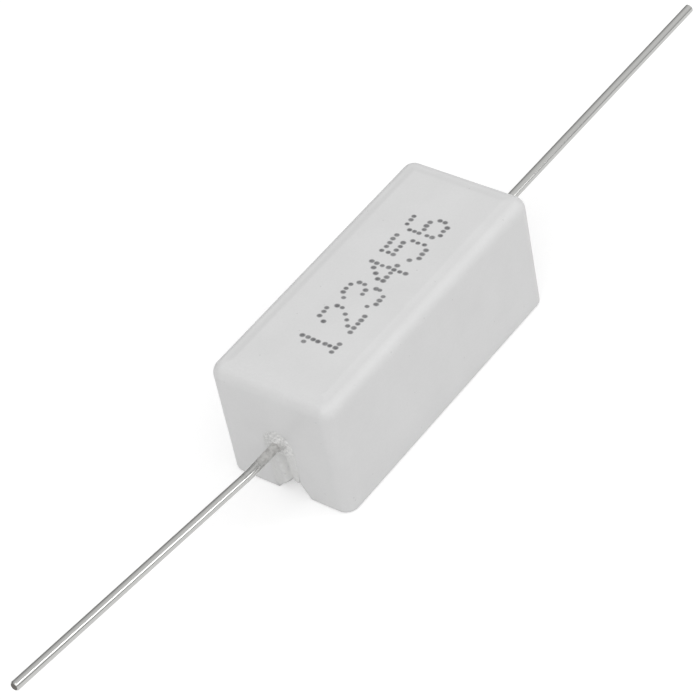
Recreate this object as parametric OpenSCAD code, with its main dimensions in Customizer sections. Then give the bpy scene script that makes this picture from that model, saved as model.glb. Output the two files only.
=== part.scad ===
// Power resistor potted in a pressed ceramic trough, with a wire lead at each end.
// X runs along the leads, Y across the case and Z up to the printed face.
// The origin is the middle of the open rim that the case stands on.

/* [Case] */
// Length of the case, along the leads
case_len = 22; // [20:0.5:28]
// Width of the case
case_w = 9.4; // [8.6:0.1:12]
// Height of the case, from its open rim to the printed face
case_h = 9; // [8.6:0.1:12]
// Radius of the upright edges and of the edges round the printed face
edge_r = 0.9; // [0.4:0.1:1.2]
// Radius of the outside edge of the rim
rim_r = 0.25; // [0.1:0.05:0.35]
// Thickness of the two long walls
side_wall = 1.4; // [1:0.1:1.7]
// Thickness of the two end walls
end_wall = 1.5; // [1.3:0.1:1.9]
// Thickness of the ceramic under the printed face
roof = 1.4; // [1:0.1:1.7]
// Radius of the corners inside the trough
trough_r = 0.8; // [0.3:0.1:1.2]

/* [Lead notches] */
// Radius of the notch's round top, and half the width of its throat
notch_r = 0.75; // [0.65:0.05:1]
// How far one side of the notch spreads at the rim
flare_w = 0.7; // [0.4:0.05:1.2]
// Height above the rim at which that side starts to spread
flare_h = 1.2; // [0.8:0.1:2]
// Radius of the two feet beside the notch
foot_r = 0.35; // [0.1:0.05:0.5]
// Width of the bevel along the notch's outside edge
notch_bevel = 0.3; // [0.1:0.05:0.4]

/* [Cement] */
// Height of the cement above the rim, along the long walls
cement_low = 0.1; // [0.05:0.05:0.4]
// How much further the cement has sunk along the middle
cement_sag = 0.15; // [0.05:0.05:0.6]
// Depth of the cement behind each end face, inside the notch
notch_recess = 1; // [0.5:0.1:1.2]
// Length of the cement bead that climbs the lead outside the case
bead_len = 0.35; // [0.1:0.05:0.8]
// Thickness of that bead at the end face, over the lead
bead_t = 0.3; // [0.1:0.05:0.32]

/* [Resistance element] */
// Cement between the end caps and the ceramic above them, at the middle of the case
roof_gap = 1.13; // [0.4:0.01:2]
// Cement between each end cap and the end wall
end_gap = 1.7; // [0.6:0.1:3]
// How far the element lies out of level, in degrees
element_tilt = 0.9; // [0:0.1:1.2]
// Diameter of the ceramic rod
rod_d = 3.8; // [2.5:0.1:4.2]
// Thickness of the resistive film on the rod, many times the real one
film_t = 0.06; // [0.04:0.01:0.12]
// Width of the spiral cut that turns the film into a long track
cut_w = 0.3; // [0.15:0.05:0.5]
// Turns of the spiral cut
cut_turns = 9; // [4:1:14]
// Wall thickness of the pressed metal end caps
cap_wall = 0.3; // [0.2:0.05:0.4]
// Length of each end cap
cap_len = 3.2; // [2:0.1:4.5]
// Radius of the outer edge of each end cap
cap_edge_r = 0.25; // [0.1:0.05:0.35]

/* [Leads] */
// Diameter of the lead wire
lead_d = 0.65; // [0.5:0.05:0.8]
// Length of the first lead, from its end face to its tip, along the wire
near_lead_len = 24.6; // [15:0.1:38]
// Length of the second lead, from its end face to its tip
far_lead_len = 26.2; // [15:0.1:38]
// Distance from the end face to the middle of each lead's bend
bend_at = 2.9; // [2:0.1:6]
// Angle of the first lead's bend, upwards
near_bend = 6.3; // [2:0.1:20]
// Angle of the second lead's bend
far_bend = 1.2; // [0.8:0.1:20]
// How far the second lead's bend is turned from upwards towards -Y, in degrees
far_bend_turn = 37; // [0:1:90]
// Radius of both bends
bend_r = 10; // [4:0.5:12]
// How much thicker the wire is in a bend, where it has been squeezed
bend_swell = 0.005; // [0.003:0.001:0.02]
// Diameter of the weld head where a lead meets its cap
weld_d = 1.4; // [1:0.1:2]
// Thickness of the weld head
weld_t = 0.25; // [0.1:0.05:0.4]
// Bevel that the cutter leaves round each tip
tip_bevel = 0.08; // [0.02:0.01:0.12]

/* [Hidden] */
$fn = 64;

// Overshoot of every cutter past the face that it cuts
cut = 0.5;
// How far a lead's straight stretches reach into its bend
bend_lap = 0.03;
trough_len = case_len - 2 * end_wall;
trough_w = case_w - 2 * side_wall;
trough_h = case_h - roof;
flare_lean = atan(flare_w / flare_h);
rod_r = rod_d / 2;
lead_r = lead_d / 2;
// Facets round the film: its flats rest on the rod and its corners fill the caps
film_steps = 32;
film_in_r = rod_r / cos(180 / film_steps);
film_out_r = film_in_r + film_t;
cap_r = film_out_r + cap_wall;
// Height of the element's axis above the rim, at the middle of the case
axis_z = trough_h - roof_gap - cap_r;
// Distance from the middle of the element to the outer face of each cap
cap_face = trough_len / 2 - end_gap;
rod_len = 2 * (cap_face - cap_wall);

// Draws a Y-Z outline as a solid of the given length, centred on x = 0
module along_x(length) {
    rotate([90, 0, 90]) linear_extrude(length, center = true) children();
}

// Draws an X-Z outline as a solid of the given length, centred on y = 0
module along_y(length) {
    rotate([90, 0, 0]) linear_extrude(length, center = true) children();
}

// Rectangle standing on the origin, with its own radius for the upper and the lower corners
module upright_outline(width, height, top_r, low_r) {
    for (side = [-1, 1]) {
        translate([side * (width / 2 - top_r), height - top_r]) circle(top_r);
        translate([side * (width / 2 - low_r), low_r]) circle(low_r);
    }
    translate([-width / 2, low_r]) square([width, height - top_r - low_r]);
    translate([-width / 2 + low_r, 0]) square([width - 2 * low_r, low_r]);
    if (width > 2 * top_r)
        translate([-width / 2 + top_r, height - top_r]) square([width - 2 * top_r, top_r]);
}

// Rectangle centred on the origin with four round corners
module plan_outline(length, width, r) {
    for (x = [-1, 1], y = [-1, 1])
        translate([x * (length / 2 - r), y * (width / 2 - r)]) circle(r);
    square([length, width - 2 * r], center = true);
    square([length - 2 * r, width], center = true);
}

// Outer form of the case: two crossed slabs and a round-topped post in each corner
module case_block() {
    along_x(case_len - 2 * edge_r) upright_outline(case_w, case_h, edge_r, rim_r);
    along_y(case_w - 2 * edge_r) upright_outline(case_len, case_h, edge_r, rim_r);
    for (x = [-1, 1], y = [-1, 1])
        translate([x * (case_len / 2 - edge_r), y * (case_w / 2 - edge_r), 0])
            rotate_extrude() intersection() {
                upright_outline(2 * edge_r, case_h, edge_r, rim_r);
                square([edge_r, case_h]);
            }
}

// Hollow of the trough, open at the rim and round in every inside corner
module trough() {
    intersection() {
        translate([0, 0, -cut])
            linear_extrude(trough_h + cut) plan_outline(trough_len, trough_w, trough_r);
        translate([0, 0, -2 * cut]) {
            along_x(trough_len) upright_outline(trough_w, trough_h + 2 * cut, trough_r, rim_r);
        }
    }
}

// Rounds the foot whose notch side meets the rim at y and leans out by lean degrees
module foot_round(y, lean) {
    reach = foot_r * tan((90 - lean) / 2);
    difference() {
        polygon([[y - reach, -cut], [y, -cut], [y, 0],
                 [y + reach * sin(lean), reach * cos(lean)], [y - reach, foot_r]]);
        translate([y - reach, foot_r]) circle(foot_r);
    }
}

// Outline of a notch seen from outside: a round top over a throat that spreads on one side
module notch_outline() {
    translate([0, axis_z]) circle(notch_r);
    translate([-notch_r, -cut]) square([2 * notch_r, axis_z + cut]);
    polygon([[-notch_r, flare_h], [-notch_r - flare_w, 0], [-notch_r - flare_w, -cut],
             [0, -cut], [0, flare_h]]);
    foot_round(-notch_r - flare_w, flare_lean);
    mirror([1, 0]) foot_round(-notch_r, 0);
}

// Bevelled slot that opens the notch towards the end face, for a straight side below the origin
module bevel_slot(height, near_y) {
    wide = notch_bevel + cut;
    linear_extrude(height)
        polygon([[-cut, -wide], [notch_bevel, 0], [notch_bevel, near_y], [-cut, near_y + wide]]);
}

// Everything that a notch takes out of the end wall at -X
module notch_cut() {
    translate([-case_len / 2 - cut, 0, 0])
        rotate([90, 0, 90]) linear_extrude(end_wall + 2 * cut) notch_outline();
    translate([-case_len / 2 - cut, 0, axis_z]) rotate([0, 90, 0])
        cylinder(h = notch_bevel + cut, r1 = notch_r + notch_bevel + cut, r2 = notch_r);
    translate([-case_len / 2, -notch_r, -cut]) bevel_slot(axis_z + cut, 2 * notch_r);
    translate([-case_len / 2, -notch_r, flare_h]) rotate([-flare_lean, 0, 0])
        translate([0, 0, -flare_h / cos(flare_lean) - cut])
            bevel_slot(flare_h / cos(flare_lean) + cut, notch_r);
}

// Cement in the notch at -X: a plug set back in the throat and a collar and bead round the lead
module notch_plug() {
    plug_x = -case_len / 2 + notch_recess;
    difference() {
        translate([plug_x, 0, 0])
            rotate([90, 0, 90]) linear_extrude(end_wall - notch_recess + cut) notch_outline();
        cement_hollow();
    }
    translate([-case_len / 2, 0, axis_z])
        rotate([0, 90, 0]) cylinder(h = end_wall + cut, r = notch_r);
    element_frame() translate([-case_len / 2 - bead_len, 0, 0]) rotate([0, 90, 0])
        cylinder(h = bead_len + notch_bevel, r1 = lead_r + bead_t / 4, r2 = lead_r + bead_t);
}

// What the sunken lower face of the cement leaves free, as one large round bar along X
module cement_hollow() {
    half = trough_w / 2;
    sag_r = (half * half + cement_sag * cement_sag) / (2 * cement_sag);
    translate([0, 0, cement_low + cement_sag - sag_r])
        rotate([0, 90, 0]) cylinder(h = case_len + 2 * cut, r = sag_r, center = true, $fn = 256);
}

// Places what lies on the element's own axis: its X runs along the rod
module element_frame() {
    translate([0, 0, axis_z]) rotate([0, element_tilt, 0]) children();
}

// Round bar along the element's axis between two places
module bar(from_x, to_x, r) {
    translate([from_x, 0, 0]) rotate([0, 90, 0]) cylinder(h = to_x - from_x, r = r);
}

// Outer form of the cap at -X, with a round outer edge
module cap_form() {
    translate([-cap_face, 0, 0]) rotate([0, 90, 0]) rotate_extrude() {
        square([cap_r - cap_edge_r, cap_len]);
        translate([0, cap_edge_r]) square([cap_r, cap_len - cap_edge_r]);
        intersection() {
            translate([cap_r - cap_edge_r, cap_edge_r]) circle(cap_edge_r);
            square([cap_r, cap_len]);
        }
    }
}

module end_cap() {
    color("#C9CACB") difference() {
        cap_form();
        bar(-rod_len / 2, -cap_face + cap_len + cut, film_out_r);
    }
}

// Wire from the cap at -X to its tip, bent upwards, with a weld head inside the case
module lead(length, bend) {
    first_len = bend_at - bend_r * tan(bend / 2);
    last_len = length - first_len - bend_r * bend * PI / 180;
    first_end = -case_len / 2 - first_len;
    color("#A9A9A8") {
        bar(-cap_face - weld_t, -cap_face, weld_d / 2);
        bar(first_end - bend_lap, -cap_face - weld_t / 2, lead_r);
        translate([first_end, 0, bend_r]) rotate([90, 0, 0]) rotate([0, 0, -90 - bend])
            rotate_extrude(angle = bend) translate([bend_r, 0]) circle(lead_r + bend_swell);
        translate([first_end, 0, bend_r]) rotate([0, bend, 0]) translate([-last_len, 0, -bend_r])
            rotate([0, 90, 0]) rotate_extrude()
                polygon([[0, 0], [lead_r - tip_bevel, 0], [lead_r, tip_bevel],
                         [lead_r, last_len + bend_lap], [0, last_len + bend_lap]]);
    }
}

// Room that the element takes up inside the cement
module element_room() {
    element_frame() {
        bar(-rod_len / 2, rod_len / 2, film_out_r);
        for (turn = [0, 180]) rotate([0, 0, turn]) {
            cap_form();
            bar(-cap_face - weld_t, -cap_face, weld_d / 2);
            bar(-case_len / 2 - bead_len - cut, -cap_face, lead_r);
        }
    }
}

// Corners of the film's cross-section at one step along its track
function film_section(step, pitch) =
    let (turn = 360 * step / film_steps,
         from_x = -rod_len / 2 + pitch * step / film_steps,
         to_x = from_x + pitch - cut_w)
    [for (corner = [[from_x, film_in_r], [from_x, film_out_r], [to_x, film_out_r], [to_x, film_in_r]])
        [corner[0], corner[1] * cos(turn), corner[1] * sin(turn)]];

module ceramic_case() {
    color("#DDDDDB") difference() {
        case_block();
        trough();
        for (turn = [0, 180]) rotate([0, 0, turn]) notch_cut();
    }
}

module cement_filler() {
    color("#CFCECA") difference() {
        union() {
            difference() {
                trough();
                cement_hollow();
            }
            for (turn = [0, 180]) rotate([0, 0, turn]) notch_plug();
        }
        element_room();
    }
}

module core_rod() {
    color("#E9E6DD") element_frame() bar(-rod_len / 2, rod_len / 2, rod_r);
}

// Film left by the spiral cut: one track that winds from cap to cap
module resistive_film() {
    pitch = (rod_len + cut_w) / (cut_turns + 1);
    steps = cut_turns * film_steps;
    points = [for (i = [0:steps]) each film_section(i, pitch)];
    sides = [for (i = [0:steps - 1], k = [0:3])
        let (a = 4 * i + k, b = 4 * i + (k + 1) % 4)
        each [[a, b, b + 4], [a, b + 4, a + 4]]];
    ends = [[3, 2, 1, 0], [for (k = [0:3]) 4 * steps + k]];
    color("#5B5750") element_frame() polyhedron(points, concat(sides, ends), convexity = 10);
}

module near_end_cap() {
    element_frame() end_cap();
}

module far_end_cap() {
    element_frame() rotate([0, 0, 180]) end_cap();
}

module near_lead() {
    element_frame() lead(near_lead_len, near_bend);
}

module far_lead() {
    element_frame() rotate([0, 0, 180]) rotate([-far_bend_turn, 0, 0]) lead(far_lead_len, far_bend);
}

ceramic_case();
cement_filler();
core_rod();
resistive_film();
near_end_cap();
far_end_cap();
near_lead();
far_lead();
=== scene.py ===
"""Looks of a power resistor potted in a pressed ceramic trough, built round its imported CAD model."""
import math
import random

import bmesh
import bpy
from bpy.props import FloatProperty, FloatVectorProperty, IntProperty, PointerProperty, StringProperty
from mathutils import Matrix, Quaternion, Vector, noise


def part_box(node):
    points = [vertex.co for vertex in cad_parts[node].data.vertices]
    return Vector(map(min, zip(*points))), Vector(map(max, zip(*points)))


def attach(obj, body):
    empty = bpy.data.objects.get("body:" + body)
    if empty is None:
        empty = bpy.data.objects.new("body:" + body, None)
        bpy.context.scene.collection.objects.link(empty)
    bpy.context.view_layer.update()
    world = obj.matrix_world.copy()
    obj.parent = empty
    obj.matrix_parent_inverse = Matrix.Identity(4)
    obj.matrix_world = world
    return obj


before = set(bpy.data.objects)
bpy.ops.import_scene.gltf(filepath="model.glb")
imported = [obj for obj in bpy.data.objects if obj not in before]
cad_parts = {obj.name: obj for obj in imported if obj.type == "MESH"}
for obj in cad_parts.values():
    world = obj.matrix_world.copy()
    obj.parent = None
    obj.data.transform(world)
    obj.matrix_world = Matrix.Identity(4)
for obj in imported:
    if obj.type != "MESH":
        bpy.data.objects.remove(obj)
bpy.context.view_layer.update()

bl_info = {
    "name": "Potted Power Resistor",
    "version": (1, 0, 0),
    "blender": (4, 5, 0),
    "location": "View3D > Sidebar > Resistor",
    "description": "Finishes a ceramic-cased power resistor and its studio",
    "category": "Add Mesh",
}

MM = 0.001
BODY = "root"
CASE_LOW, CASE_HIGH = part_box("ceramic_case")
ROD_LOW, ROD_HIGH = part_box("core_rod")
# The wires leave the end faces on the element's axis, which lies slightly out of level
ELEMENT_TILT = math.radians(0.9)
AXIS_Z = (ROD_LOW.z + ROD_HIGH.z) / 2
EXIT_RISE = CASE_HIGH.x * math.tan(ELEMENT_TILT)

# Outline of the cement in the near notch, seen from outside, in mm from the middle of the rim
FILL_OUTLINE = ((1.12, 2.0), (1.15, 2.8), (1.25, 3.6), (1.28, 4.4), (1.05, 5.05), (0.5, 5.42), (-0.15, 5.48),
                (-0.75, 5.2), (-1.1, 4.7), (-1.12, 4.0), (-1.1, 3.0), (-1.1, 2.0), (-1.05, 1.4), (-0.95, 1.12),
                (-0.49, 1.26), (-0.18, 1.06), (0.48, 0.4), (0.76, 0.2), (1.0, 0.3), (1.1, 0.8), (1.12, 1.4))
FILL_MIDDLE = (0.05, 2.9)
# Height of the wire's exit in that outline, and the height below which the far notch has the same outline
FILL_EXIT = 4.37
FILL_FOOT = 1.5
# Widths of its coarse and fine grains and of its long waves, in mm
COARSE_GRAIN, FINE_GRAIN, LONG_WAVE = 0.14, 0.07, 0.9
# The collar that climbs the wire: distance of its start from the wire's middle, height and fall, in mm
COLLAR_START, COLLAR_RISE, COLLAR_FALL = 0.34, 0.07, 0.16
# The crack beside the wire: distance from the wire's middle, half width and depth, in mm
CRACK_OFF, CRACK_WIDTH, CRACK_DEPTH = 0.5, 0.13, 0.12
# The dip below the wire: its top's height and place across, its lean and its half width, in mm
DIP_TOP, DIP_Y, DIP_LEAN, DIP_WIDTH = 3.74, 0.08, 0.13, 0.25

# The groove inside the case's upper edges: its outer end, middle and inner end from the edge, and depth, in mm
GROOVE_OUTER, GROOVE_MIDDLE, GROOVE_INNER, GROOVE_DEPTH = 0.4, 0.85, 1.32, 0.058

# Lamps: place, target, width and height, in metres
KEY_LAMP = ((-0.42, -0.16, 0.36), (0, 0, AXIS_Z), 0.5, 0.5)
STRIP_LAMP = ((0.117, -0.164, 0.122), (-0.027, 0, 0.006), 0.036, 0.14)
FLOOR_RADIUS = 0.9
# What the floor adds of its own light for the camera and for reflections
FLOOR_LIFT = 0.42

# Dot patterns of the numerals, seven rows of five dots each, top row first
NUMERALS = {
    "0": (".###.", "#...#", "#...#", "#...#", "#...#", "#...#", ".###."),
    "1": ("..#..", ".##..", "..#..", "..#..", "..#..", "..#..", ".###."),
    "2": (".###.", "#...#", "....#", "...#.", "..#..", ".#...", "#####"),
    "3": (".###.", "#...#", "....#", "..##.", "....#", "#...#", ".###."),
    "4": ("...#.", "..##.", ".#.#.", "#..#.", "#####", "...#.", "...#."),
    "5": ("#####", "#....", "####.", "....#", "....#", "#...#", ".###."),
    "6": (".###.", "#....", "#....", "####.", "#...#", "#...#", ".###."),
    "7": ("#####", "....#", "...#.", "...#.", "..#..", "..#..", "..#.."),
    "8": (".###.", "#...#", "#...#", ".###.", "#...#", "#...#", ".###."),
    "9": (".###.", "#...#", "#...#", ".####", "....#", "....#", ".###."),
}


def linear(code):
    """Turns an sRGB hex colour into linear red, green and blue."""
    parts = [int(code[i:i + 2], 16) / 255 for i in (1, 3, 5)]
    return tuple(c / 12.92 if c <= 0.04045 else ((c + 0.055) / 1.055) ** 2.4 for c in parts)


def add(tree, kind, inputs=None, **settings):
    """Adds a node with its settings, and links or sets each named or numbered input."""
    node = tree.nodes.new(kind)
    for name, value in settings.items():
        setattr(node, name, value)
    for key, value in (inputs or {}).items():
        if isinstance(value, bpy.types.NodeSocket):
            tree.links.new(value, node.inputs[key])
        else:
            node.inputs[key].default_value = value
    return node


def new_material(name):
    """Makes an empty node material and returns it with its tree and its Principled shader."""
    material = bpy.data.materials.new(name)
    material.use_nodes = True
    tree = material.node_tree
    tree.nodes.clear()
    shader = add(tree, "ShaderNodeBsdfPrincipled")
    add(tree, "ShaderNodeOutputMaterial", {"Surface": shader.outputs[0]})
    return material, tree, shader


def per_metre(size_mm):
    """Scale of a pattern on Object coordinates whose features are size_mm across."""
    return 1 / (size_mm * MM)


def finish_piece(name, bm, material):
    """Turns a bmesh into a piece at the origin that rides on the part."""
    bmesh.ops.remove_doubles(bm, verts=bm.verts, dist=1e-7)
    bmesh.ops.recalc_face_normals(bm, faces=bm.faces)
    mesh = bpy.data.meshes.new(name)
    bm.to_mesh(mesh)
    bm.free()
    mesh.materials.append(material)
    piece = bpy.data.objects.new(name, mesh)
    bpy.context.scene.collection.objects.link(piece)
    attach(piece, BODY)
    return piece


def dress(node, material):
    """Gives a CAD node its finished material."""
    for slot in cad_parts[node].material_slots:
        slot.material = material


class CaseProps(bpy.types.PropertyGroup):
    clay: FloatVectorProperty(name="Fired clay", description="Colour of the fired ceramic",
                              subtype="COLOR", min=0, max=1, default=linear("#DCDCDC"))
    clay_grain: FloatProperty(name="Grain", description="Width of the pressed grains, in mm",
                              default=0.14, min=0.02)


class PrintProps(bpy.types.PropertyGroup):
    numerals: StringProperty(name="Numerals", description="Plain digits printed on the case",
                             default="123456")
    ink: FloatVectorProperty(name="Ink", description="Colour of the printed dots",
                             subtype="COLOR", min=0, max=1, default=linear("#646466"))
    column_pitch: FloatProperty(name="Column pitch", description="Distance between dot columns",
                                default=0.39 * MM, unit="LENGTH", precision=5)
    row_pitch: FloatProperty(name="Row pitch", description="Distance between dot rows",
                             default=0.43 * MM, unit="LENGTH", precision=5)
    advance: FloatProperty(name="Advance", description="Distance from one numeral to the next",
                           default=2.35 * MM, unit="LENGTH", precision=5)
    first_x: FloatProperty(name="First column",
                           description="Place of the first dot column along the case",
                           default=-6.87 * MM, unit="LENGTH", precision=5)
    low_y: FloatProperty(name="Lowest row", description="Place of the lowest dot row across the case",
                         default=-1.74 * MM, unit="LENGTH", precision=5)
    dot_length: FloatProperty(name="Dot length", description="Length of a dot along the case",
                              default=0.4 * MM, unit="LENGTH", precision=5)
    dot_width: FloatProperty(name="Dot width", description="Width of a dot across the case",
                             default=0.46 * MM, unit="LENGTH", precision=5)
    ink_height: FloatProperty(name="Ink height", description="How far the dry ink stands proud",
                              default=0.008 * MM, unit="LENGTH", precision=6)


class CementProps(bpy.types.PropertyGroup):
    cement: FloatVectorProperty(name="Cement", description="Colour of the dry potting cement",
                                subtype="COLOR", min=0, max=1, default=linear("#DEDEDD"))
    dip: FloatProperty(name="Dip", description="Depth of the shrinkage dip below each wire, in mm",
                       default=0.42)
    depth: FloatProperty(name="Fill depth", description="How far each fill goes back into its notch",
                         default=1.02 * MM, unit="LENGTH", precision=5)
    rings: IntProperty(name="Rings", description="Rings of faces from the middle of a fill", default=44, min=8)
    steps: IntProperty(name="Steps", description="Faces round a fill", default=168, min=24)
    seed: FloatProperty(name="Seed", description="Picks another lie of the grains", default=3.7)


class WireProps(bpy.types.PropertyGroup):
    tin: FloatVectorProperty(name="Tin", description="Colour of the tin coat",
                             subtype="COLOR", min=0, max=1, default=linear("#C4C4C2"))
    dusted: FloatProperty(name="Dusted length",
                          description="Wire outside the case that cement has dulled",
                          default=1.9 * MM, unit="LENGTH", precision=5)


class StudioProps(bpy.types.PropertyGroup):
    aim: FloatVectorProperty(name="Aim", description="Point that the camera looks at",
                             subtype="TRANSLATION", default=(-2.1 * MM, 0.98 * MM, 4.22 * MM))
    distance: FloatProperty(name="Distance", description="From the camera to that point",
                            default=186 * MM, unit="LENGTH")
    heading: FloatProperty(name="Heading", description="Direction of view, from +X towards +Y",
                           default=math.radians(44.26), unit="ROTATION")
    pitch: FloatProperty(name="Pitch", description="How far the camera looks down",
                         default=math.radians(42.61), unit="ROTATION")
    roll: FloatProperty(name="Roll", description="Turn of the camera about its view",
                        default=math.radians(-12.38), unit="ROTATION")
    lens: FloatProperty(name="Lens", description="Focal length of the camera, in mm", default=151.5)
    key_power: FloatProperty(name="Key", description="Power of the large soft lamp, in watts",
                             default=0.77)
    strip_power: FloatProperty(name="Strip",
                               description="Power of the narrow lamp beside the case, in watts",
                               default=0.048)


def pressed_ceramic(props):
    """Dry-pressed, fired clay.

    It gives the eye an even, matt off-white with a faint cloudiness, a fine grain and a few dark specks.
    """
    material, tree, shader = new_material("pressed_fired_ceramic")
    place = add(tree, "ShaderNodeTexCoord").outputs["Object"]
    clouds = add(tree, "ShaderNodeTexNoise", {"Vector": place, "Scale": per_metre(3.2), "Detail": 3.0})
    grain = add(tree, "ShaderNodeTexNoise",
                {"Vector": place, "Scale": per_metre(props.clay_grain), "Detail": 2.0})
    specks = add(tree, "ShaderNodeTexVoronoi", {"Vector": place, "Scale": per_metre(1.1)})
    base = add(tree, "ShaderNodeRGB")
    base.outputs[0].default_value = (*props.clay, 1)
    cloudy = add(tree, "ShaderNodeMapRange",
                 {"Value": clouds.outputs["Fac"], "From Min": 0.3, "From Max": 0.7,
                  "To Min": 0.975, "To Max": 1.015})
    grainy = add(tree, "ShaderNodeMapRange",
                 {"Value": grain.outputs["Fac"], "From Min": 0.3, "From Max": 0.7,
                  "To Min": 0.985, "To Max": 1.01})
    speck = add(tree, "ShaderNodeMapRange",
                {"Value": specks.outputs["Distance"], "From Min": 0.03, "From Max": 0.06,
                 "To Min": 0.86, "To Max": 1.0})
    tone = add(tree, "ShaderNodeMath", {0: cloudy.outputs[0], 1: grainy.outputs[0]},
               operation="MULTIPLY")
    tone = add(tree, "ShaderNodeMath", {0: tone.outputs[0], 1: speck.outputs[0]}, operation="MULTIPLY")
    colour = add(tree, "ShaderNodeVectorMath", {0: base.outputs[0], "Scale": tone.outputs[0]},
                 operation="SCALE")
    gloss = add(tree, "ShaderNodeMapRange",
                {"Value": grain.outputs["Fac"], "From Min": 0.3, "From Max": 0.7,
                 "To Min": 0.38, "To Max": 0.48})
    # Tumbling before the firing has softened every edge a little further
    soft = add(tree, "ShaderNodeBevel", {"Radius": 0.35 * MM}, samples=6)
    # The punch has left a shallow groove just inside the upper edges
    parts = add(tree, "ShaderNodeSeparateXYZ", {0: place})
    insets = []
    for axis, half in (("X", CASE_HIGH.x), ("Y", CASE_HIGH.y)):
        off = add(tree, "ShaderNodeMath", {0: parts.outputs[axis]}, operation="ABSOLUTE")
        insets.append(add(tree, "ShaderNodeMath", {0: half, 1: off.outputs[0]}, operation="SUBTRACT"))
    inset = add(tree, "ShaderNodeMath", {0: insets[0].outputs[0], 1: insets[1].outputs[0], 2: 0.3 * MM},
                operation="SMOOTH_MIN")
    falling = add(tree, "ShaderNodeMapRange",
                  {"Value": inset.outputs[0], "From Min": GROOVE_OUTER * MM, "From Max": GROOVE_MIDDLE * MM,
                   "To Min": 0.0, "To Max": -GROOVE_DEPTH * MM}, interpolation_type="SMOOTHSTEP")
    rising = add(tree, "ShaderNodeMapRange",
                 {"Value": inset.outputs[0], "From Min": GROOVE_MIDDLE * MM, "From Max": GROOVE_INNER * MM,
                  "To Min": 1.0, "To Max": 0.0}, interpolation_type="SMOOTHSTEP")
    upper = add(tree, "ShaderNodeMath", {0: parts.outputs["Z"], 1: CASE_HIGH.z / 2},
                operation="GREATER_THAN")
    groove = add(tree, "ShaderNodeMath", {0: falling.outputs[0], 1: rising.outputs[0]},
                 operation="MULTIPLY")
    groove = add(tree, "ShaderNodeMath", {0: groove.outputs[0], 1: upper.outputs[0]},
                 operation="MULTIPLY")
    worn = add(tree, "ShaderNodeMapRange",
               {"Value": clouds.outputs["Fac"], "From Min": 0.3, "From Max": 0.7,
                "To Min": 0.75, "To Max": 1.15})
    groove = add(tree, "ShaderNodeMath", {0: groove.outputs[0], 1: worn.outputs[0]},
                 operation="MULTIPLY")
    dished = add(tree, "ShaderNodeBump",
                 {"Height": groove.outputs[0], "Strength": 1.0, "Distance": 1.0,
                  "Normal": soft.outputs[0]})
    bump = add(tree, "ShaderNodeBump",
               {"Height": grain.outputs["Fac"], "Strength": 0.12, "Distance": 0.02 * MM,
                "Normal": dished.outputs[0]})
    tree.links.new(colour.outputs[0], shader.inputs["Base Color"])
    tree.links.new(gloss.outputs[0], shader.inputs["Roughness"])
    tree.links.new(bump.outputs[0], shader.inputs["Normal"])
    shader.inputs["IOR"].default_value = 1.5
    return material


def printing_ink(props, clay):
    """Grey marking ink, jetted as dots: matt, a little uneven, and thin at the rim of each dot."""
    material, tree, shader = new_material("jetted_marking_ink")
    place = add(tree, "ShaderNodeTexCoord").outputs["Object"]
    patches = add(tree, "ShaderNodeTexNoise", {"Vector": place, "Scale": per_metre(0.16), "Detail": 3.0})
    cover = add(tree, "ShaderNodeAttribute", attribute_name="ink_cover")
    uneven = add(tree, "ShaderNodeMapRange",
                 {"Value": patches.outputs["Fac"], "From Min": 0.3, "From Max": 0.75,
                  "To Min": 1.0, "To Max": 0.8})
    amount = add(tree, "ShaderNodeMath", {0: cover.outputs["Fac"], 1: uneven.outputs[0]},
                 operation="MULTIPLY")
    colour = add(tree, "ShaderNodeMix", {"Factor": amount.outputs[0]}, data_type="RGBA")
    colour.inputs[6].default_value = (*clay, 1)
    colour.inputs[7].default_value = (*props.ink, 1)
    bump = add(tree, "ShaderNodeBump",
               {"Height": patches.outputs["Fac"], "Strength": 0.15, "Distance": 0.01 * MM})
    tree.links.new(colour.outputs[2], shader.inputs["Base Color"])
    tree.links.new(bump.outputs[0], shader.inputs["Normal"])
    shader.inputs["Roughness"].default_value = 0.7
    return material


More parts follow.
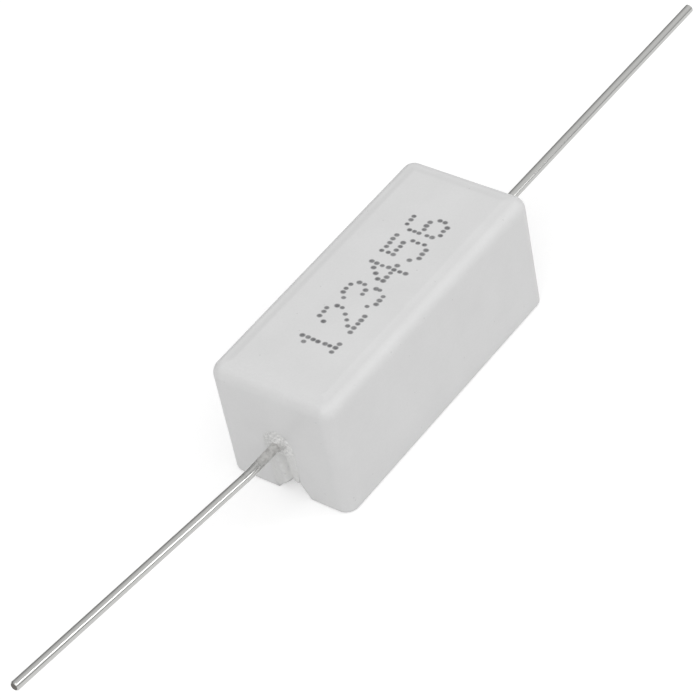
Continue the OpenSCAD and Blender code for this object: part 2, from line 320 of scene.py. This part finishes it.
def potting_cement(props):
    """Air-dried silicate cement: dull, sandy and pitted, a little darker and warmer than the case."""
    material, tree, shader = new_material("dried_potting_cement")
    place = add(tree, "ShaderNodeTexCoord").outputs["Object"]
    sand = add(tree, "ShaderNodeTexNoise", {"Vector": place, "Scale": per_metre(0.22), "Detail": 4.0})
    patches = add(tree, "ShaderNodeTexNoise", {"Vector": place, "Scale": per_metre(1.3), "Detail": 2.0})
    pits = add(tree, "ShaderNodeTexVoronoi", {"Vector": place, "Scale": per_metre(0.5)})
    base = add(tree, "ShaderNodeRGB")
    base.outputs[0].default_value = (*props.cement, 1)
    sandy = add(tree, "ShaderNodeMapRange",
                {"Value": sand.outputs["Fac"], "From Min": 0.3, "From Max": 0.7,
                 "To Min": 0.955, "To Max": 1.03})
    patchy = add(tree, "ShaderNodeMapRange",
                 {"Value": patches.outputs["Fac"], "From Min": 0.3, "From Max": 0.7,
                  "To Min": 0.98, "To Max": 1.01})
    # Pits: dented through the bump below, and painted darker inside, which is painted shade in the pits
    pits_and_pit_shade = add(tree, "ShaderNodeMapRange",
                 {"Value": pits.outputs["Distance"], "From Min": 0.08, "From Max": 0.16,
                  "To Min": 0.86, "To Max": 1.0})
    tone = add(tree, "ShaderNodeMath", {0: sandy.outputs[0], 1: patchy.outputs[0]}, operation="MULTIPLY")
    tone = add(tree, "ShaderNodeMath", {0: tone.outputs[0], 1: pits_and_pit_shade.outputs[0]}, operation="MULTIPLY")
    colour = add(tree, "ShaderNodeVectorMath", {0: base.outputs[0], "Scale": tone.outputs[0]},
                 operation="SCALE")
    # The cement turns grey in ragged blotches round the wire, centred 0.16 mm off its middle towards -Y,
    # within about 0.6 mm of it
    parts = add(tree, "ShaderNodeSeparateXYZ", {0: place})
    axis = add(tree, "ShaderNodeMath", {0: parts.outputs["X"], 1: math.tan(ELEMENT_TILT), 2: -AXIS_Z},
               operation="MULTIPLY_ADD")
    above = add(tree, "ShaderNodeMath", {0: parts.outputs["Z"], 1: axis.outputs[0]}, operation="ADD")
    section = add(tree, "ShaderNodeCombineXYZ", {"Y": parts.outputs["Y"], "Z": above.outputs[0]})
    off_axis = add(tree, "ShaderNodeVectorMath", {0: section.outputs[0]}, operation="LENGTH")
    beside = add(tree, "ShaderNodeVectorMath", {0: section.outputs[0], 1: (0, -0.16 * MM, 0.02 * MM)},
                 operation="DISTANCE")
    ragged = add(tree, "ShaderNodeMath", {0: sand.outputs["Fac"], 1: 0.5 * MM, 2: beside.outputs["Value"]},
                 operation="MULTIPLY_ADD")
    grey_round_wire = add(tree, "ShaderNodeMapRange",
                {"Value": ragged.outputs[0], "From Min": 0.52 * MM, "From Max": 0.72 * MM,
                 "To Min": 0.65, "To Max": 0.0})
    colour = add(tree, "ShaderNodeMix", {"Factor": grey_round_wire.outputs[0], 6: colour.outputs[0]},
                 data_type="RGBA")
    colour.inputs[7].default_value = (*linear("#A8A7A5"), 1)
    # Dry crumbs lie round the wire, lighter than the rest
    crumbs = add(tree, "ShaderNodeTexNoise", {"Vector": place, "Scale": per_metre(0.17), "Detail": 2.0})
    crumb = add(tree, "ShaderNodeMapRange",
                {"Value": crumbs.outputs["Fac"], "From Min": 0.4, "From Max": 0.62,
                 "To Min": 0.93, "To Max": 1.13})
    halo = add(tree, "ShaderNodeMapRange",
               {"Value": off_axis.outputs["Value"], "From Min": 0.9 * MM, "From Max": 1.35 * MM,
                "To Min": 1.0, "To Max": 0.0})
    crumb = add(tree, "ShaderNodeMix", {"Factor": halo.outputs[0], 2: 1.0, 3: crumb.outputs[0]},
                data_type="FLOAT")
    colour = add(tree, "ShaderNodeVectorMath", {0: colour.outputs[2], "Scale": crumb.outputs[0]},
                 operation="SCALE")
    height = add(tree, "ShaderNodeMath", {0: sand.outputs["Fac"], 1: pits_and_pit_shade.outputs[0]},
                 operation="MULTIPLY")
    bump = add(tree, "ShaderNodeBump", {"Height": height.outputs[0], "Strength": 0.35,
                                        "Distance": 0.04 * MM})
    tree.links.new(colour.outputs[0], shader.inputs["Base Color"])
    tree.links.new(bump.outputs[0], shader.inputs["Normal"])
    shader.inputs["Roughness"].default_value = 0.9
    return material


def tinned_wire(props):
    """Drawn wire with a tin coat.

    It gives the eye bright bands along its length with fine draw lines, dulled by cement at the case.
    """
    material, tree, shader = new_material("tinned_drawn_wire")
    place = add(tree, "ShaderNodeTexCoord").outputs["Object"]
    # Draw lines run far along the wire and are about 0.05 mm apart round it
    along = add(tree, "ShaderNodeMapping", {"Vector": place, "Scale": (0.02, 1, 1)})
    lines = add(tree, "ShaderNodeTexNoise", {"Vector": along.outputs[0], "Scale": per_metre(0.09),
                                             "Detail": 2.0})
    spots = add(tree, "ShaderNodeTexNoise", {"Vector": place, "Scale": per_metre(0.7), "Detail": 3.0})
    parts = add(tree, "ShaderNodeSeparateXYZ", {0: place})
    out = add(tree, "ShaderNodeMath", {0: parts.outputs["X"]}, operation="ABSOLUTE")
    streaks = add(tree, "ShaderNodeTexNoise", {"Vector": along.outputs[0], "Scale": per_metre(0.2),
                                               "Detail": 2.0})
    uneven = add(tree, "ShaderNodeMath", {0: spots.outputs["Fac"], 1: streaks.outputs["Fac"]},
                 operation="ADD")
    wobble = add(tree, "ShaderNodeMath", {0: uneven.outputs[0], 1: 2.2 * MM, 2: out.outputs[0]},
                 operation="MULTIPLY_ADD")
    edge = CASE_HIGH.x + props.dusted + 2.2 * MM
    dust = add(tree, "ShaderNodeMapRange",
               {"Value": wobble.outputs[0], "From Min": edge - 0.6 * MM, "From Max": edge + 0.5 * MM,
                "To Min": 1.0, "To Max": 0.0})
    geometry = add(tree, "ShaderNodeNewGeometry")
    facing = add(tree, "ShaderNodeSeparateXYZ", {0: geometry.outputs["True Normal"]})
    facing = add(tree, "ShaderNodeMath", {0: facing.outputs["X"]}, operation="ABSOLUTE")
    sheared = add(tree, "ShaderNodeMath", {0: facing.outputs[0], 1: 0.9}, operation="GREATER_THAN")
    metal = add(tree, "ShaderNodeMix", {"Factor": lines.outputs["Fac"]}, data_type="RGBA")
    metal.inputs[6].default_value = (*[c * 0.86 for c in props.tin], 1)
    metal.inputs[7].default_value = (*props.tin, 1)
    cut = add(tree, "ShaderNodeMix", {"Factor": sheared.outputs[0], 6: metal.outputs[2]},
              data_type="RGBA")
    cut.inputs[7].default_value = (*linear("#5E5B57"), 1)
    dusty = add(tree, "ShaderNodeMix", {"Factor": dust.outputs[0], 6: cut.outputs[2]}, data_type="RGBA")
    blotches = add(tree, "ShaderNodeTexNoise", {"Vector": place, "Scale": per_metre(0.22),
                                                "Detail": 3.0})
    blotch = add(tree, "ShaderNodeMapRange",
                 {"Value": blotches.outputs["Fac"], "From Min": 0.42, "From Max": 0.62,
                  "To Min": 0.0, "To Max": 1.0})
    grey = add(tree, "ShaderNodeMix", {"Factor": blotch.outputs[0]}, data_type="RGBA")
    grey.inputs[6].default_value = (*linear("#C4C3C1"), 1)
    grey.inputs[7].default_value = (*linear("#ADACAA"), 1)
    tree.links.new(grey.outputs[2], dusty.inputs[7])
    shine = add(tree, "ShaderNodeMapRange",
                {"Value": lines.outputs["Fac"], "From Min": 0.3, "From Max": 0.7,
                 "To Min": 0.08, "To Max": 0.14})
    rough = add(tree, "ShaderNodeMath", {0: dust.outputs[0], 1: 0.55, 2: shine.outputs[0]},
                operation="MULTIPLY_ADD")
    metallic = add(tree, "ShaderNodeMath", {0: 1.0, 1: dust.outputs[0]}, operation="SUBTRACT")
    bump = add(tree, "ShaderNodeBump", {"Height": lines.outputs["Fac"], "Strength": 0.1,
                                        "Distance": 0.006 * MM})
    tree.links.new(dusty.outputs[2], shader.inputs["Base Color"])
    tree.links.new(rough.outputs[0], shader.inputs["Roughness"])
    tree.links.new(metallic.outputs[0], shader.inputs["Metallic"])
    tree.links.new(bump.outputs[0], shader.inputs["Normal"])
    return material


def ground_rod():
    """Centreless-ground rod ceramic: smooth, cream, with faint rings from the wheel."""
    material, tree, shader = new_material("ground_rod_ceramic")
    place = add(tree, "ShaderNodeTexCoord").outputs["Object"]
    rings = add(tree, "ShaderNodeTexWave", {"Vector": place, "Scale": per_metre(1.2), "Distortion": 1.5},
                bands_direction="X")
    colour = add(tree, "ShaderNodeMix", {"Factor": rings.outputs["Fac"]}, data_type="RGBA")
    colour.inputs[6].default_value = (*linear("#E9E6DC"), 1)
    colour.inputs[7].default_value = (*linear("#DCD8CC"), 1)
    tree.links.new(colour.outputs[2], shader.inputs["Base Color"])
    shader.inputs["Roughness"].default_value = 0.55
    return material


def oxide_film():
    """Sprayed metal-oxide film: dark, satin and slightly mottled."""
    material, tree, shader = new_material("sprayed_oxide_film")
    place = add(tree, "ShaderNodeTexCoord").outputs["Object"]
    mottle = add(tree, "ShaderNodeTexNoise", {"Vector": place, "Scale": per_metre(0.6), "Detail": 4.0})
    colour = add(tree, "ShaderNodeMix", {"Factor": mottle.outputs["Fac"]}, data_type="RGBA")
    colour.inputs[6].default_value = (*linear("#4E4A44"), 1)
    colour.inputs[7].default_value = (*linear("#66615A"), 1)
    tree.links.new(colour.outputs[2], shader.inputs["Base Color"])
    shader.inputs["Roughness"].default_value = 0.4
    shader.inputs["Metallic"].default_value = 0.3
    return material


def plated_cap():
    """Deep-drawn steel cap with a tin flash: satin metal with draw marks along its length."""
    material, tree, shader = new_material("drawn_plated_steel")
    place = add(tree, "ShaderNodeTexCoord").outputs["Object"]
    along = add(tree, "ShaderNodeMapping", {"Vector": place, "Scale": (0.05, 1, 1)})
    marks = add(tree, "ShaderNodeTexNoise", {"Vector": along.outputs[0], "Scale": per_metre(0.15),
                                             "Detail": 3.0})
    rough = add(tree, "ShaderNodeMapRange",
                {"Value": marks.outputs["Fac"], "From Min": 0.3, "From Max": 0.7,
                 "To Min": 0.3, "To Max": 0.45})
    tree.links.new(rough.outputs[0], shader.inputs["Roughness"])
    shader.inputs["Base Color"].default_value = (*linear("#C9CACB"), 1)
    shader.inputs["Metallic"].default_value = 1.0
    return material


def print_dot(bm, cover, centre, length, width, height, sunk, strength):
    """Adds one dot of dry ink: a low oval pad, thin at its rim."""
    made = bmesh.ops.create_circle(bm, cap_ends=True, segments=14, radius=0.5)["verts"]
    bmesh.ops.scale(bm, vec=(length, width, 1), verts=made)
    bmesh.ops.translate(bm, vec=centre - Vector((0, 0, sunk)), verts=made)
    face = made[0].link_faces[0]
    top = bmesh.ops.extrude_face_region(bm, geom=[face])["geom"]
    bmesh.ops.translate(bm, vec=(0, 0, sunk), verts=[v for v in top if isinstance(v, bmesh.types.BMVert)])
    lid = next(f for f in top if isinstance(f, bmesh.types.BMFace))
    for inset, rise, share in ((0.09 * width, 0.8 * height, 0.55), (0.12 * width, 0.2 * height, 1.0)):
        bmesh.ops.inset_region(bm, faces=[lid], thickness=inset, depth=0, use_even_offset=True)
        bmesh.ops.translate(bm, vec=(0, 0, rise), verts=lid.verts)
        for vert in lid.verts:
            vert[cover] = share * strength


class OBJECT_OT_resistor_case(bpy.types.Operator):
    """Finish the ceramic case"""
    bl_idname = "object.resistor_case"
    bl_label = "Ceramic Case"

    def execute(self, context):
        dress("ceramic_case", pressed_ceramic(context.scene.resistor_case))
        return {"FINISHED"}


class OBJECT_OT_resistor_print(bpy.types.Operator):
    """Print the numerals on the case, dot by dot"""
    bl_idname = "object.resistor_print"
    bl_label = "Printed Numerals"

    def execute(self, context):
        props = context.scene.resistor_print
        bm = bmesh.new()
        cover = bm.verts.layers.float.new("ink_cover")
        jitter = random.Random(4)
        for place, numeral in enumerate(props.numerals):
            for row, dots in enumerate(reversed(NUMERALS[numeral])):
                for column, dot in enumerate(dots):
                    if dot != "#":
                        continue
                    x = props.first_x + place * props.advance + column * props.column_pitch
                    y = props.low_y + row * props.row_pitch
                    shift = Vector((jitter.gauss(0, 0.02), jitter.gauss(0, 0.035), 0)) * MM
                    size = jitter.uniform(0.88, 1.08)
                    print_dot(bm, cover, Vector((x, y, CASE_HIGH.z)) + shift, size * props.dot_length,
                              size * props.dot_width, props.ink_height, 0.02 * MM, jitter.uniform(0.9, 1.0))
        ink = printing_ink(props, context.scene.resistor_case.clay)
        finish_piece("printed_numerals", bm, ink)
        return {"FINISHED"}


def reach(angle):
    """Distance in mm from the middle of the notch's fill to its outline, in one direction."""
    offsets = [(y - FILL_MIDDLE[0], z - FILL_MIDDLE[1]) for y, z in FILL_OUTLINE]
    ends = sorted((math.atan2(z, y), math.hypot(y, z)) for y, z in offsets)
    ends = [(ends[-1][0] - math.tau, ends[-1][1]), *ends, (ends[0][0] + math.tau, ends[0][1])]
    for (a, near), (b, far) in zip(ends, ends[1:]):
        if a <= angle <= b:
            return near + (far - near) * (angle - a) / (b - a)
    raise ValueError("no outline in that direction")


def smooth(value):
    """Eases from 0 to 1 while the value goes from 0 to 1."""
    value = min(max(value, 0), 1)
    return value * value * (3 - 2 * value)


def bell(value, width):
    """1 at the value 0, falling off on both sides."""
    return math.exp(-(value / width) ** 2)


def fill_height(y, z, inward, props):
    """How far the cement in a notch stands proud of the end face, in mm.

    Inward runs from 1 at the fill's middle to 0 at its outline.
    """
    out = math.hypot(y, z - FILL_EXIT)
    turn = math.atan2(z - FILL_EXIT, -y)
    halo = smooth((z - FILL_EXIT + 0.75) / 0.5)
    place = Vector((y, z, props.seed))
    rough = noise.noise(place / COARSE_GRAIN) + 0.6 * noise.noise(place / FINE_GRAIN)
    waves = noise.noise(place / LONG_WAVE)
    # A collar climbs the wire, with a crack on the side where the wire has moved
    height = 0.03 + COLLAR_RISE * math.exp(-max(0, out - COLLAR_START) / COLLAR_FALL)
    crack = bell(out - CRACK_OFF, CRACK_WIDTH) * smooth((turn + 0.35) / 0.4) * smooth((1.9 - turn) / 0.5)
    height -= CRACK_DEPTH * crack
    # Below the wire the cement has shrunk away from one wall in a long dip
    dip_y = DIP_Y - DIP_LEAN * (DIP_TOP - z)
    below = smooth((FILL_EXIT - 0.5 - z) / 0.35)
    height -= props.dip * bell(y - dip_y, DIP_WIDTH) * below
    height += 0.012 * waves + rough * (0.01 + 0.07 * halo * smooth((out - 0.3) / 0.2))
    # It breaks up into grains on the face round the wire, and ends in a round lip above the rim
    lip = smooth((FILL_EXIT - 2.2 - z) / 0.6)
    edge = smooth((inward + 0.05 * rough * (1 - lip)) / (0.05 * (1 - lip) + 0.09))
    return height * edge - (0.045 + 0.3 * lip) * (1 - edge)


def notch_fill(bm, props, turned, wire_z):
    """Makes the cement that fills one notch: a disc of rings with a wall that goes back into the plug."""
    stretch = (wire_z - FILL_FOOT) / (FILL_EXIT - FILL_FOOT)
    path = [bm.verts.new((0, ring / props.rings, 0)) for ring in range(props.rings + 1)]
    path.append(bm.verts.new((1, 1, 0)))
    edges = [bm.edges.new(pair) for pair in zip(path, path[1:])]
    bmesh.ops.spin(bm, geom=path + edges, cent=(0, 0, 0), axis=(1, 0, 0), angle=math.tau,
                   steps=props.steps, use_merge=True)
    for vert in bm.verts:
        inner = math.hypot(vert.co.y, vert.co.z)
        angle = math.atan2(vert.co.z, vert.co.y) if inner > 1e-6 else 0
        span = reach(angle) * inner * (0.98 if vert.co.x > 0.5 else 1)
        y = FILL_MIDDLE[0] + span * math.cos(angle)
        z = FILL_MIDDLE[1] + span * math.sin(angle)
        proud = fill_height(y, z, 1 - inner, props) if vert.co.x < 0.5 else -props.depth / MM
        if z > FILL_FOOT:
            z = FILL_FOOT + (z - FILL_FOOT) * stretch
        vert.co = Vector((CASE_LOW.x / MM - proud, y, z)) * MM
    if turned:
        bmesh.ops.rotate(bm, verts=bm.verts, cent=(0, 0, 0), matrix=Matrix.Rotation(math.pi, 3, "Z"))


class OBJECT_OT_resistor_cement(bpy.types.Operator):
    """Finish the potting cement, and add what fills each notch round its wire"""
    bl_idname = "object.resistor_cement"
    bl_label = "Potting Cement"

    def execute(self, context):
        props = context.scene.resistor_cement
        material = potting_cement(props)
        dress("cement_filler", material)
        for name, turned, wire_z in (("near_notch_fill", False, AXIS_Z + EXIT_RISE),
                                     ("far_notch_fill", True, AXIS_Z - EXIT_RISE)):
            bm = bmesh.new()
            notch_fill(bm, props, turned, wire_z / MM)
            piece = finish_piece(name, bm, material)
            for face in piece.data.polygons:
                face.use_smooth = True
        return {"FINISHED"}


class OBJECT_OT_resistor_wires(bpy.types.Operator):
    """Finish the two tinned wires"""
    bl_idname = "object.resistor_wires"
    bl_label = "Tinned Wires"

    def execute(self, context):
        material = tinned_wire(context.scene.resistor_wires)
        for node in ("near_lead", "far_lead"):
            dress(node, material)
        return {"FINISHED"}


class OBJECT_OT_resistor_element(bpy.types.Operator):
    """Finish the element inside: rod, film and end caps"""
    bl_idname = "object.resistor_element"
    bl_label = "Inner Element"

    def execute(self, context):
        dress("core_rod", ground_rod())
        dress("resistive_film", oxide_film())
        cap = plated_cap()
        for node in ("near_end_cap", "far_end_cap"):
            dress(node, cap)
        return {"FINISHED"}


def studio_floor():
    """White seamless board: matt, brightened for the eye and for reflections, with the shadow left on it."""
    material, tree, shader = new_material("white_seamless_board")
    path = add(tree, "ShaderNodeLightPath")
    seen = add(tree, "ShaderNodeMath", {0: path.outputs["Is Camera Ray"], 1: path.outputs["Is Glossy Ray"]},
               operation="MAXIMUM")
    seen = add(tree, "ShaderNodeMath", {0: seen.outputs[0], 1: path.outputs["Is Transmission Ray"]},
               operation="MAXIMUM")
    lift = add(tree, "ShaderNodeMath", {0: seen.outputs[0], 1: FLOOR_LIFT}, operation="MULTIPLY")
    shader.inputs["Base Color"].default_value = (*linear("#D9D9D9"), 1)
    shader.inputs["Roughness"].default_value = 0.9
    shader.inputs["Emission Color"].default_value = (1, 1, 1, 1)
    tree.links.new(lift.outputs[0], shader.inputs["Emission Strength"])
    return material


def add_lamp(name, place, target, width, height, power):
    """Adds a soft rectangular lamp that looks at a point and is seen only in reflections."""
    light = bpy.data.lights.new(name, "AREA")
    light.shape = "RECTANGLE"
    light.size = width
    light.size_y = height
    light.energy = power
    lamp = bpy.data.objects.new(name, light)
    lamp.location = place
    lamp.rotation_mode = "QUATERNION"
    lamp.rotation_quaternion = (Vector(place) - Vector(target)).to_track_quat("Z", "Y")
    lamp.visible_camera = False
    bpy.context.scene.collection.objects.link(lamp)


def studio_world():
    """Soft room: bright overhead and dim towards the horizon, which gives the wires their dark lines."""
    world = bpy.data.worlds.new("studio_room")
    bpy.context.scene.world = world
    world.use_nodes = True
    tree = world.node_tree
    tree.nodes.clear()
    place = add(tree, "ShaderNodeTexCoord").outputs["Generated"]
    parts = add(tree, "ShaderNodeSeparateXYZ", {0: place})
    low = add(tree, "ShaderNodeMapRange",
              {"Value": parts.outputs["Y"], "From Min": -0.2, "From Max": 0.6,
               "To Min": 0.45, "To Max": 0.16},
              interpolation_type="SMOOTHSTEP")
    level = add(tree, "ShaderNodeMapRange",
                {"Value": parts.outputs["Z"], "From Min": 0.05, "From Max": 0.55,
                 "To Min": low.outputs[0],
                 "To Max": 0.95}, interpolation_type="SMOOTHSTEP")
    far_side = add(tree, "ShaderNodeMapRange",
                   {"Value": parts.outputs["Y"], "From Min": 0.05, "From Max": 0.75,
                    "To Min": 1.0, "To Max": 0.6})
    level = add(tree, "ShaderNodeMath", {0: level.outputs[0], 1: far_side.outputs[0]},
                operation="MULTIPLY")
    back = add(tree, "ShaderNodeBackground", {"Color": (1, 1, 1, 1), "Strength": level.outputs[0]})
    add(tree, "ShaderNodeOutputWorld", {"Surface": back.outputs[0]})


class SCENE_OT_resistor_studio(bpy.types.Operator):
    """Set up the floor, the room, the lamps and the camera"""
    bl_idname = "scene.resistor_studio"
    bl_label = "Studio"

    def execute(self, context):
        props = context.scene.resistor_studio
        bm = bmesh.new()
        bmesh.ops.create_circle(bm, cap_ends=True, segments=96, radius=FLOOR_RADIUS)
        mesh = bpy.data.meshes.new("floor")
        bm.to_mesh(mesh)
        bm.free()
        mesh.materials.append(studio_floor())
        floor = bpy.data.objects.new("floor", mesh)
        context.scene.collection.objects.link(floor)
        studio_world()
        add_lamp("key", *KEY_LAMP, props.key_power)
        # The narrow lamp lies where the near wire mirrors it along its whole length and the far wire does not
        add_lamp("strip", *STRIP_LAMP, props.strip_power)
        view = Vector((math.cos(props.pitch) * math.cos(props.heading),
                       math.cos(props.pitch) * math.sin(props.heading), -math.sin(props.pitch)))
        data = bpy.data.cameras.new("camera")
        data.lens = props.lens
        data.clip_start = 0.01
        camera = bpy.data.objects.new("camera", data)
        camera.location = Vector(props.aim) - props.distance * view
        camera.rotation_mode = "QUATERNION"
        camera.rotation_quaternion = view.to_track_quat("-Z", "Y") @ Quaternion((0, 0, 1), props.roll)
        context.scene.collection.objects.link(camera)
        context.scene.camera = camera
        context.scene.view_settings.view_transform = "Standard"
        return {"FINISHED"}


OPERATORS = (
    OBJECT_OT_resistor_case,
    OBJECT_OT_resistor_print,
    OBJECT_OT_resistor_cement,
    OBJECT_OT_resistor_wires,
    OBJECT_OT_resistor_element,
    SCENE_OT_resistor_studio,
)
SETTINGS = {
    "resistor_case": CaseProps,
    "resistor_print": PrintProps,
    "resistor_cement": CementProps,
    "resistor_wires": WireProps,
    "resistor_studio": StudioProps,
}


class VIEW3D_PT_resistor(bpy.types.Panel):
    """Lists the resistor's settings and operators"""
    bl_label = "Potted Power Resistor"
    bl_idname = "VIEW3D_PT_resistor"
    bl_space_type = "VIEW_3D"
    bl_region_type = "UI"
    bl_category = "Resistor"

    def draw(self, context):
        for name, kind in SETTINGS.items():
            box = self.layout.box()
            for key in kind.__annotations__:
                box.prop(getattr(context.scene, name), key)
        for operator in OPERATORS:
            self.layout.operator(operator.bl_idname)


def register():
    """Registers the classes and hangs their settings on the scene."""
    for kind in (*SETTINGS.values(), *OPERATORS, VIEW3D_PT_resistor):
        bpy.utils.register_class(kind)
    for name, kind in SETTINGS.items():
        setattr(bpy.types.Scene, name, PointerProperty(type=kind))


def unregister():
    """Takes back what register added."""
    for name in SETTINGS:
        delattr(bpy.types.Scene, name)
    for kind in reversed((*SETTINGS.values(), *OPERATORS, VIEW3D_PT_resistor)):
        bpy.utils.unregister_class(kind)


def main():
    """Builds everything in order."""
    register()
    bpy.ops.object.resistor_case()
    bpy.ops.object.resistor_print()
    bpy.ops.object.resistor_cement()
    bpy.ops.object.resistor_wires()
    bpy.ops.object.resistor_element()
    bpy.ops.scene.resistor_studio()


if __name__ == "__main__":
    main()
